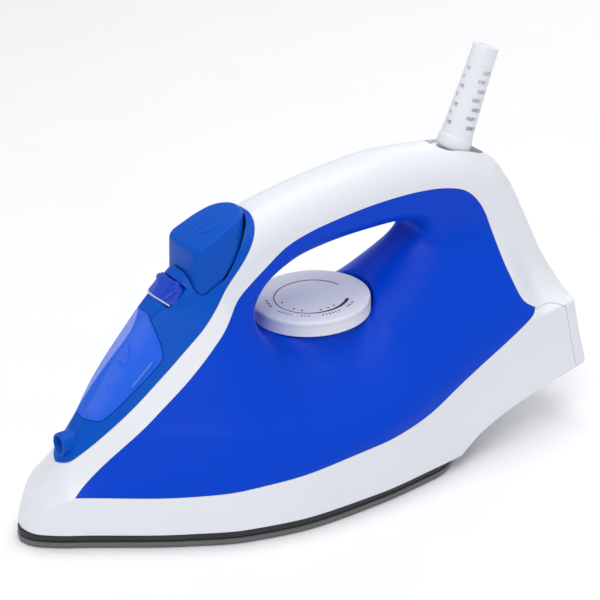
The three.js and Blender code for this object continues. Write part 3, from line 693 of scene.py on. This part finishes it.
cut_from_skin("tank_window_skin", "tank_window", "clear_blue", CLEAR,
              ("INTERSECT", prism_across(grown(window_outline, -0.35))))
cut_from_skin("rear_cover_skin", "rear_cover", "white_plastic", WHITE,
              ("INTERSECT", prism_across(heel_seam(-SEAM))))
discard(skin)


# ---- turned and swept pieces ----
def rounded(corners, steps=4):
    """A chain of (u, v, radius) corners with each corner rounded to its radius."""
    p = np.array([c[:2] for c in corners], float)
    points = [p[0]]
    for i in range(1, len(p) - 1):
        back, ahead = p[i - 1] - p[i], p[i + 1] - p[i]
        reach = corners[i][2] if len(corners[i]) > 2 else 0.0
        a = min(reach, 0.45 * np.linalg.norm(back)) / np.linalg.norm(back)
        b = min(reach, 0.45 * np.linalg.norm(ahead)) / np.linalg.norm(ahead)
        if reach == 0:
            points.append(p[i])
            continue
        for t in np.linspace(0, 1, steps + 1):
            points.append(p[i] + back * a * (1 - t) ** 2 + ahead * b * t * t)
    return np.array(points + [p[-1]])


def tilted(points, place, lean):
    """Turns points about the y axis by lean, nose side up, and moves them to place."""
    p = np.array(points, float)
    x = p[:, 0] * math.cos(lean) + p[:, 2] * math.sin(lean)
    z = p[:, 2] * math.cos(lean) - p[:, 0] * math.sin(lean)
    return np.stack([x, p[:, 1], z], 1) + np.array(place, float)


def turned(name, outline, place, lean=0.0, sides=96, shape=None):
    """Solid of revolution: a chain of (radius, height) that ends on the axis or on itself."""
    chain = np.array(outline, float)
    closed = chain[0][0] > 1e-6
    if closed and np.allclose(chain[0], chain[-1]):
        chain = chain[:-1]
    points, rings = [], []
    for radius, height in chain:
        if radius < 1e-6:
            rings.append([len(points)] * sides)
            points.append((0, 0, height))
            continue
        rings.append(list(range(len(points), len(points) + sides)))
        for i in range(sides):
            angle = 2 * math.pi * i / sides
            rx, ry = shape(angle, radius, height) if shape else (radius, radius)
            points.append((rx * math.cos(angle), ry * math.sin(angle), height))
    faces = []
    pairs = list(zip(rings, rings[1:])) + ([(rings[-1], rings[0])] if closed else [])
    for low, high in pairs:
        for i in range(sides):
            j = (i + 1) % sides
            ring = [low[i], low[j], high[j], high[i]]
            faces.append([v for k, v in enumerate(ring) if v != ring[k - 1]])
    faces = [f for f in faces if len(f) > 2]
    return outward(new_object(name, tilted(points, place, lean), faces))


def tube(name, path, radius, sides=12, closed=False):
    """Round tube along a path of points, with flat ends."""
    p = np.array(path, float)
    ahead = np.roll(p, -1, 0) - np.roll(p, 1, 0)
    if not closed:
        ahead[0], ahead[-1] = p[1] - p[0], p[-1] - p[-2]
    ahead /= np.linalg.norm(ahead, axis=1)[:, None]
    side = np.cross(ahead[0], (0.3, 0.9, 0.31))
    points, faces = [], []
    for i in range(len(p)):
        side = side - ahead[i] * np.dot(side, ahead[i])
        side /= np.linalg.norm(side)
        other = np.cross(ahead[i], side)
        for k in range(sides):
            angle = 2 * math.pi * k / sides
            points.append(p[i] + radius * (math.cos(angle) * side + math.sin(angle) * other))
    count = len(p) if closed else len(p) - 1
    for i in range(count):
        a, b = i * sides, ((i + 1) % len(p)) * sides
        faces += [[a + k, a + (k + 1) % sides, b + (k + 1) % sides, b + k] for k in range(sides)]
    if not closed:
        faces += [list(range(sides))[::-1], list(range(len(points) - sides, len(points)))]
    return outward(new_object(name, points, faces))


def joined(name, parts):
    """One object of several meshes."""
    bm = bmesh.new()
    for part in parts:
        bm.from_mesh(part.data)
    mesh = bpy.data.meshes.new(name)
    bm.to_mesh(mesh)
    bm.free()
    for part in parts:
        discard(part)
    obj = bpy.data.objects.new(name, mesh)
    bpy.context.scene.collection.objects.link(obj)
    return obj


# ---- soleplate and heat shield ----
SOLE_REAR, REAR_ROUNDING = 191.0, 24.0


def sole_outline(inset):
    """Half plan of the soleplate, mirrored: pointed nose, rounded rear corners."""
    shrink, rear = inset * 1.15, SOLE_REAR - inset
    bend = rear - REAR_ROUNDING
    xs = np.arange(0, 12, 0.05)
    nose = xs[np.argmax(sole_half(xs) > shrink)]
    t = np.linspace(0, 1, 46) ** 1.3
    x = nose + 0.05 + (bend - nose - 0.05) * t
    side = np.stack([x, sole_half(x) - shrink], 1)
    angle = np.linspace(0, 1, 18)[1:-1] * math.pi / 2
    x = bend + REAR_ROUNDING * np.sin(angle)
    corner = np.stack([x, (sole_half(x) - shrink) * np.cos(angle) ** 0.6], 1)
    side = np.vstack([side, corner])
    return np.vstack([side * (1, -1), side[::-1]])


def stacked(name, layers):
    """Solid lofted through (inset, height) outlines of the soleplate."""
    outlines = [(sole_outline(inset), height) for inset, height in layers]
    return lofted(name, [np.column_stack([p, np.full(len(p), z)]) for p, z in outlines])


def soleplate():
    edge = [(1.3, 0), (0.6, 0.2), (0.2, 0.6), (0, 1.2), (0, 2.2), (0.2, 2.6), (0.6, 2.8)]
    plate = stacked("sole_blank", edge + [(9, 2.8), (9, 4.0)])
    holes = [(62, 0)]
    for x, y in [(68, 8), (79, 14), (92, 18), (106, 20.5), (121, 21), (136, 19)]:
        holes += [(x, y), (x, -y)]
    drills = [turned("drill", rounded([(0, -1), (2.4, -1), (2.4, 0.05), (1.5, 0.9), (1.5, 3.2),
                                       (0, 3.2)]), (x, y, 0), sides=24) for x, y in holes]
    ring = [(x, y) for x, y in sole_outline(14) if x > 40]
    groove = tube("groove", [(x, y, 0.1) for x, y in ring], 0.7, 8)
    cutter = joined("cutter", drills + [groove])
    obj = carve("soleplate_casting", plate, [("DIFFERENCE", cutter)])
    discard(plate)
    return finish_piece(shade(obj), "housing", "soleplate_metal", SOLE, "soleplate")


def heat_shield():
    band = [(5, 3.1), (0.9, 3.1), (0.5, 3.3), (0.4, 3.7), (0.4, 5.3), (0.7, 5.7), (1.6, 5.8),
            (4.0, 6.0), (4.6, 9), (4.8, 18.6), (5.4, 19)]
    blank = stacked("heat_shield_blank", band)
    nose = prism_across([(-5, 6.1), (28, 6.1), (28, 30), (-5, 30)])
    obj = carve("heat_shield_band", blank, [("DIFFERENCE", nose)])
    discard(blank)
    return finish_piece(shade(obj), "housing", "black_plastic", BLACK, "heat_shield")


soleplate()
heat_shield()

# ---- spray button, nozzle and filler cap ----
BUTTON_DOME = 0.004             # fall of its top, per mm squared across the iron
BUTTON_FLOOR = 80.0             # its blank ends here, below every point that the foot cut keeps
button_crest = profile([(70, 108.4), (75, 110.9), (80, 113.2), (90, 117.6), (97, 120.2),
                        (104, 122)])
BUTTON_LIFT = 4.6               # its travel, and a little clearance to the edge under it
rising = cover_outline[(cover_outline[:, 0] > 60) & (cover_outline[:, 1] < 117)][::-1]
button_foot = np.vstack([[(104.5, 121.5)], rising + (0, BUTTON_LIFT),
                         [(58, 78), (58, 140), (112, 140), (112, 126)]])
plan_chart = Chart(lambda x, y: outline_distance(x, y, button_plan(0)), (66, -22), (112, 22))


def button_field(x, y, z):
    top = (z - button_crest(x) + BUTTON_DOME * y * y) / 1.12
    side = plan_chart(x, y) + 0.02 * (z - 86)
    return round_meet(round_meet(side, top, 1.5), BUTTON_FLOOR - z, 0.3)


def spray_button():
    cell = 0.6
    blank = grid_object("button_blank", button_field, (70, -16, 78), (106, 16, 126), cell, 2.2)
    obj = carve("spray_button_cap", blank, [("INTERSECT", prism_across(button_foot))])
    discard(blank)
    finish_piece(shade_by_field(obj, button_field), "spray_button", "blue_plastic",
                 COVER_BLUE, "spray_button")
    marks = []
    for k in range(3):
        start, spread = (80.5 + 1.0 * k, -3.2 + 3.2 * k), 0.32 * (k - 1)
        path = []
        for t in np.linspace(0, 1, 9):
            x = start[0] + 6.5 * t * math.cos(spread)
            y = start[1] + 6.5 * t * math.sin(spread) + 0.7 * math.sin(2 * math.pi * t)
            path.append((x, y, float(button_crest(x)) - BUTTON_DOME * y * y - 0.15))
        marks.append(tube("mark", path, 0.42, 8))
    pattern = joined("spray_button_mark", marks)
    finish_piece(shade(pattern, 60), "spray_button", "blue_plastic", COVER_BLUE)


def nozzle():
    ring = rounded([(0, 5.2), (1.0, 5.2, 0.3), (1.5, 4.2, 0.3), (3.1, 3.6, 0.4), (3.3, 1.2, 0.6),
                    (3.7, 0, 0.4), (4.5, 0, 0.4), (4.8, 1.4, 0.6), (5.0, 8, 0), (0, 8)])
    obj = turned("nozzle_ring", ring, NOZZLE_PLACE, math.pi / 2, 64)
    finish_piece(shade(obj, 40), "housing", "blue_plastic", COVER_BLUE, "nozzle")
    tip = rounded([(0, 3.1), (0.45, 3.1), (0.7, 2.7, 0.2), (1.5, 3.4, 0.2), (1.6, 5.6), (0, 5.6)])
    obj = turned("nozzle_tip", tip, NOZZLE_PLACE, math.pi / 2, 32)
    finish_piece(shade(obj, 40), "housing", "clear_blue", LIP_HIGHLIGHT_AND_TIP)


def lid_field(x, y, z):
    """The filler cap: a bowed rectangle with round corners that follows the body's skin."""
    along = (x - LID_LOW[0]) * math.cos(LID_SLOPE) + (z - LID_LOW[1]) * math.sin(LID_SLOPE)
    bow = 0.012 * y * y
    qx = np.abs(along - bow - 4.9) - 4.7 + 2.5
    qy = np.abs(y) - LID_HALF + 2.5
    plan = np.sqrt(np.maximum(qx, 0) ** 2 + np.maximum(qy, 0) ** 2)
    plan = plan + np.minimum(np.maximum(qx, qy), 0) - 2.5
    skin_distance = body_field(x, y, z)
    return round_meet(round_meet(plan, skin_distance - 0.9, 0.8), -skin_distance - 1.2, 0.3)


def filler_cap():
    cell = 0.45
    lid = grid_object("filler_cap_lid", lid_field, (58, -10, 84), (78, 10, 104), cell)
    finish_piece(shade_by_field(lid, lid_field), "filler_cap", "clear_blue", CAP_BLUE,
                 "filler_cap")
    knuckle = turned("filler_cap_knuckle", rounded([
        (0, -7.7), (1.8, -7.7, 1.3), (1.8, -5.4, 0.3), (1.5, -5.1, 0.2), (1.5, 5.1, 0.2),
        (1.8, 5.4, 0.3), (1.8, 7.7, 1.3), (0, 7.7)]), (0, 0, 0), 0, 32)
    local = values(knuckle.data.vertices, "co", 3) / MM - NOSE
    placed = np.stack([local[:, 0] + LID_HINGE[0], local[:, 2], -local[:, 1] + LID_HINGE[1]], 1)
    knuckle.data.vertices.foreach_set("co", to_frame(placed).ravel())
    outward(knuckle)
    finish_piece(shade(knuckle, 40), "filler_cap", "clear_blue", CAP_BLUE)
    path = []
    for y in np.linspace(-7.2, 7.2, 21):
        x, z = on_lid(-0.05 + 0.012 * y * y + 0.05 * max(abs(y) - 5.2, 0) ** 2, 0)
        for _ in range(12):
            distance = float(body_field(np.array(x), np.array(y), np.array(z))) - 0.35
            x += distance * math.sin(LID_SLOPE)
            z -= distance * math.cos(LID_SLOPE)
        path.append((x, y, z))
    # The lip is raised geometry, but its pale colour is a painted highlight on the cap's front edge.
    lip = tube("filler_cap_lip", path, 0.42, 8)
    finish_piece(shade(lip, 60), "filler_cap", "clear_blue", LIP_HIGHLIGHT_AND_TIP)


spray_button()
nozzle()
filler_cap()


# ---- water tank behind the window ----
tank_outline = [(24, 46), (56, 30), (86, 30), (86, 66), (71, 86), (62.5, 86), (58, 92), (40, 70)]
TANK_LOW, TANK_HIGH = (21, -43, 28), (92, 43, 100)    # box of its blank, past that outline
TANK_MOUTH, MOUTH_RADIUS = 66.0, 3.5                  # the filler mouth, under the cap


def tank_field(x, y, z):
    """The room inside the skin, closed by the blank's box."""
    ends = [np.maximum(low - at, at - high) for low, at, high in zip(TANK_LOW, (x, y, z), TANK_HIGH)]
    return np.maximum(body_field(x, y, z) + SHELL + TANK_GAP, np.maximum.reduce(ends))


def water_tank():
    cell = 1.0
    turn = np.linspace(0, 2 * math.pi, 32, endpoint=False)
    mouth = np.stack([TANK_MOUTH + MOUTH_RADIUS * np.cos(turn), MOUTH_RADIUS * np.sin(turn)], 1)
    blank = grid_object("tank_blank", tank_field, (18, -45, 26), (96, 45, 112), cell, TANK_WALL)
    shell = carve("water_tank_shell", blank, [
        ("DIFFERENCE", prism_upright(mouth, 70, 110)),
        ("INTERSECT", prism_across(tank_outline))])
    discard(blank)
    finish_piece(shade_by_field(shell, tank_field), "housing", "clear_blue", TANK, "water_tank")
    ring = []
    for k in range(24):
        angle = 2 * math.pi * k / 24
        ring.append(on_top(46.5 + 2.6 * math.cos(angle), -3.4 + 2.6 * math.sin(angle), -1.0))
    details = [tube("ring", ring, 0.6, 8, closed=True)]
    for x, y in ((38.5, -4.4), (41.6, -5.2), (40.2, -7.6)):
        details.append(bead(on_top(x, y, -SHELL), 0.75))
    finish_piece(shade(joined("tank_float_ring", details), 60), "housing", "clear_blue", CLEAR)
    bar = tube("tank_level_bar", [on_side(x, z, 0.1) for x, z in
                       zip(np.linspace(45.6, 54.6, 9), np.linspace(60.5, 69.2, 9))], 0.55, 8)
    finish_piece(shade(bar, 60), "housing", "clear_blue", LEVEL_BAR)


def onto_skin(start, axis):
    """Moves a point from outside the body along one axis until it is on the skin."""
    place = [np.array(v, float) for v in start]
    for _ in range(60):
        place[axis] = place[axis] - float(body_field(*place)) * 0.8
    return [float(v) for v in place]


def on_top(x, y, offset):
    """Point of the skin above (x, y), moved out by offset along z."""
    z = onto_skin((x, y, float(top_line(x)) + 2), 2)[2]
    return (x, y, z + offset)


def on_side(x, z, offset):
    """Point of the near side's skin at (x, z), moved out by offset along y."""
    y = onto_skin((x, float(flank(np.array(x), np.array(z))) + 2, z), 1)[1]
    return (x, -y - offset, z)


def bead(place, radius):
    half = [(radius * math.sin(a), -radius * math.cos(a)) for a in np.linspace(0, math.pi, 9)]
    half[0], half[-1] = (0, -radius), (0, radius)
    return turned("bead", half, place, sides=16)


water_tank()


# ---- dial ----
def on_dial(radius, degrees, height=0.0):
    angle = math.radians(degrees)
    return (radius * math.cos(angle), radius * math.sin(angle), height)


def dial_face(radius):
    """Height of the dial's slightly dished face."""
    return -0.55 * float(1 - ramp(radius, 13, 21)) - 0.04


def knurled(angle, radius, height):
    depth = 0.16 * (0.5 + 0.5 * math.cos(angle * KNURLS)) if -6.0 < height < -1.9 else 0.0
    groove = depth if radius > DIAL_RADIUS - 0.5 else 0.0
    return radius - groove, radius - groove


def arc_strip(name, radius, start, end, width):
    """Thin raised strip on the dial's face, its width a function of how far along it is."""
    count = max(int(abs(end - start) / 3), 2)
    points, faces = [], []
    for i in range(count + 1):
        t = i / count
        half = width(t) / 2
        for offset, lift in ((-half, -0.1), (half, -0.1), (half, 0.07), (-half, 0.07)):
            r = radius + offset
            points.append(on_dial(r, start + (end - start) * t, dial_face(r) + lift))
    for i in range(count):
        a, b = 4 * i, 4 * i + 4
        faces += [[a + k, a + (k + 1) % 4, b + (k + 1) % 4, b + k] for k in range(4)]
    faces += [[3, 2, 1, 0], [4 * count + k for k in range(4)]]
    return outward(new_object(name, tilted(points, DIAL_PLACE, DIAL_TILT), faces))


def dial():
    face = [(r, dial_face(r)) for r in (0, 6, 11, 13, 14.5, 16, 17.5, 19, 20.5, 21.6)]
    rim = rounded([(22.2, -0.06), (24.2, -0.1, 1.5), (DIAL_RADIUS, -1.9, 0.3)], 6)
    side = [(DIAL_RADIUS, h) for h in np.linspace(-2.0, -5.9, 5)]
    under = rounded([(DIAL_RADIUS, -6.0), (DIAL_RADIUS - 0.1, -6.6, 0.3), (22.6, -6.6, 0.3),
                     (22.4, -2.6, 0.5), (5, -2.6, 0.3), (4.8, -8.5, 0.3), (0, -8.5)], 3)
    chain = np.vstack([face, rim, side, under])
    disc = turned("dial_knob", chain, DIAL_PLACE, DIAL_TILT, KNURLS * 4, knurled)
    finish_piece(shade(disc, 50), "dial", "dial_plastic", DIAL_WHITE, "dial")

    scale = [arc_strip("scale", 15.1, 10, 316.6,
                       lambda t: 0.42 + 1.1 * float(ramp(t, 0.62, 1.0)))]
    for degrees in (168.8, 204.6, 221.6, 256.4, 271.2, 285.1):
        place = tilted([on_dial(12.6, degrees, dial_face(12.6) - 0.3)], DIAL_PLACE, DIAL_TILT)[0]
        scale.append(bead(place, 0.55))
    # Short ticks stand where the photo's dial has words.
    for middle, spread in ((166, 9), (203.5, 10), (231.3, 5), (265.4, 12), (300.5, 8)):
        for degrees in np.arange(-spread, spread + 0.1, 4.5):
            tick = [on_dial(r, middle + degrees, dial_face(r) - 0.02) for r in (17.6, 18.8)]
            scale.append(tube("tick", tilted(tick, DIAL_PLACE, DIAL_TILT), 0.2, 6))
    finish_piece(shade(joined("dial_scale", scale), 50), "dial", "dial_plastic", INK)


dial()


# ---- cord guard ----
def sector(start, end, low, high, inner=4.3, outer=9.0):
    """Piece of a ring between two angles and two heights, used to cut a slot."""
    points = []
    angles = np.radians(np.linspace(start, end, 9))
    for height in (low, high):
        for radius in (inner, outer):
            points += [(radius * math.cos(a), radius * math.sin(a), height) for a in angles]
    n = len(angles)
    faces = []
    for i in range(n - 1):
        faces += [[i, i + 1, n + i + 1, n + i], [2 * n + i, 3 * n + i, 3 * n + i + 1, 2 * n + i + 1],
                  [i, 2 * n + i, 2 * n + i + 1, i + 1],
                  [n + i, n + i + 1, 3 * n + i + 1, 3 * n + i]]
    faces += [[0, n, 3 * n, 2 * n], [n - 1, 3 * n - 1, 4 * n - 1, 2 * n - 1]]
    return outward(new_object("sector", tilted(points, GUARD_PIVOT, GUARD_LEAN), faces))


def guard_oval(angle, radius, height):
    """The flange is longer along the handle than across it."""
    stretch = float(1 - ramp(height, 11, 16))
    return radius * (1 + 0.03 * stretch), radius * (1 - 0.06 * stretch)


def cord_guard():
    chain = rounded([(3.2, 12), (6.2, 11.0, 0.4), (7.4, 11.8, 0.5), (7.4, 13.2, 0.6),
                     (7.0, 16.4, 0.6), (6.7, 16.8, 0.2), (6.5, 20.5, 0.3), (6.35, 24, 0),
                     (6.1, 30, 0), (5.8, 38, 0), (5.45, 46.6, 0.1), (5.55, 47.2, 0.1),
                     (5.4, 54.6, 0), (5.35, 55.5, 0.9), (3.5, 55.4, 0.3), (3.2, 54.6, 0),
                     (3.2, 12)], 4)
    sleeve = turned("guard_blank", chain, GUARD_PIVOT, GUARD_LEAN, 96, guard_oval)
    rows, facing = 7, -122.0
    cutters = []
    for i in range(rows):
        low = 20.6 + 3.9 * i
        right = (18, 74) if i % 2 == 0 else (8, 52)
        left = (-74, -44) if i % 2 == 0 else (-88, -60)
        for turn in (0, 180):
            for start, end in (right, left):
                cutters.append(sector(facing + start + turn, facing + end + turn, low, low + 1.7))
    obj = carve("cord_guard_sleeve", sleeve, [("DIFFERENCE", joined("cutter", cutters))])
    discard(sleeve)
    finish_piece(shade(obj, 35), "cord_guard", "guard_plastic", GUARD_WHITE, "cord_guard")
    arc = np.linspace(-math.radians(52), math.radians(52), 25)
    outer, inner = 11.3, 4.5
    section = [(outer * math.sin(a), outer * math.cos(a)) for a in arc]
    section += [(inner * math.sin(a), inner * math.cos(a)) for a in arc[::-1]]
    ring = tilted([(x, 0, z) for x, z in section], GUARD_PIVOT, GUARD_LEAN)
    barrel = prism_across(ring[:, [0, 2]], -6.9, 6.9)
    barrel.name = "cord_guard_barrel"
    finish_piece(shade(barrel, 40), "cord_guard", "guard_plastic", GUARD_WHITE)


cord_guard()


# ---- inside pieces ----
PUMP_X, SPRING_LOW, SPRING_HIGH = 87.0, 90.9, 110.0


def pump_spring():
    turns = 6
    angle = np.linspace(0, 2 * math.pi * turns, turns * 28)
    rise = SPRING_LOW + (SPRING_HIGH - SPRING_LOW) * angle / angle[-1]
    path = np.stack([PUMP_X + 4.6 * np.cos(angle), 4.6 * np.sin(angle), rise], 1)
    obj = tube("pump_spring_coil", path, 0.55, 10)
    finish_piece(shade(obj, 60), "housing", "steel", STEEL, "pump_spring")
    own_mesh(obj)


def spray_hose():
    path = curved([(87, 0, 67), (86, 0, 64), (78, 0, 60.4), (52, 0, 49.4), (27.5, 0, NOZZLE_PLACE[2])], 60)
    obj = tube("spray_hose_tube", path, 1.6, 16)
    finish_piece(shade(obj, 60), "housing", "clear_hose", HOSE, "spray_hose")


pump_spring()
spray_hose()

INSIDE = (
    (STEEL, "heating_element chamber_cover filler_cap_pin thermostat_spindle thermostat_bracket "
            "rear_cover_screw screw_nose screw_left screw_right"),
    (WHITE, "pump_body guard_bearing_left guard_bearing_right cord_clamp"),
    (CERAMIC, "thermostat_body thermal_fuse terminal_block"),
    (BRASS, "drip_valve"), (BLUE, "pump_piston"))
for material, names in INSIDE:
    for node in names.split():
        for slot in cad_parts[node].material_slots:
            slot.material = material


# ---- stage, light and camera ----
def stage_and_lights():
    floor = new_object("floor", [(0, 0, 0)], [])
    bm = bmesh.new()
    bmesh.ops.create_grid(bm, x_segments=1, y_segments=1, size=3.0)
    bm.to_mesh(floor.data)
    bm.free()
    floor.data.materials.append(plastic("floor_paint", (0.97, 0.97, 0.975), 0.75, grain=0.0))
    world = bpy.data.worlds.new("studio")
    bpy.context.scene.world = world
    world.use_nodes = True
    background = world.node_tree.nodes["Background"]
    background.inputs["Color"].default_value = (0.97, 0.98, 1.0, 1)
    background.inputs["Strength"].default_value = 0.5
    lights = [("key", (-0.55, -0.75, 1.15), 0.7, 7.0), ("top", (0.15, 0.1, 1.25), 0.9, 5.8),
              ("rim", (0.8, 0.6, 0.6), 0.5, 1.2)]
    for name, place, width, power in lights:
        lamp = bpy.data.lights.new(name, "AREA")
        lamp.shape = "SQUARE"
        lamp.size = width
        lamp.energy = power
        obj = bpy.data.objects.new(name, lamp)
        bpy.context.scene.collection.objects.link(obj)
        obj.location = place
        aim = Vector((0, 0, 0.06)) - Vector(place)
        obj.rotation_euler = aim.to_track_quat("-Z", "Y").to_euler()


def camera():
    azimuth, elevation, distance = math.radians(-32.0), math.radians(24.95), 0.9924
    target = Vector(to_frame((129.5, 0, 72.6)))
    back = Vector((math.sin(azimuth) * math.cos(elevation),
                   -math.cos(azimuth) * math.cos(elevation), math.sin(elevation)))
    data = bpy.data.cameras.new("camera")
    data.sensor_width = 36
    data.lens = 147
    obj = bpy.data.objects.new("camera", data)
    bpy.context.scene.collection.objects.link(obj)
    obj.location = target + back * distance
    obj.rotation_euler = (-back).to_track_quat("-Z", "Y").to_euler()
    bpy.context.scene.camera = obj


stage_and_lights()
camera()
bpy.context.scene.view_settings.view_transform = "Standard"
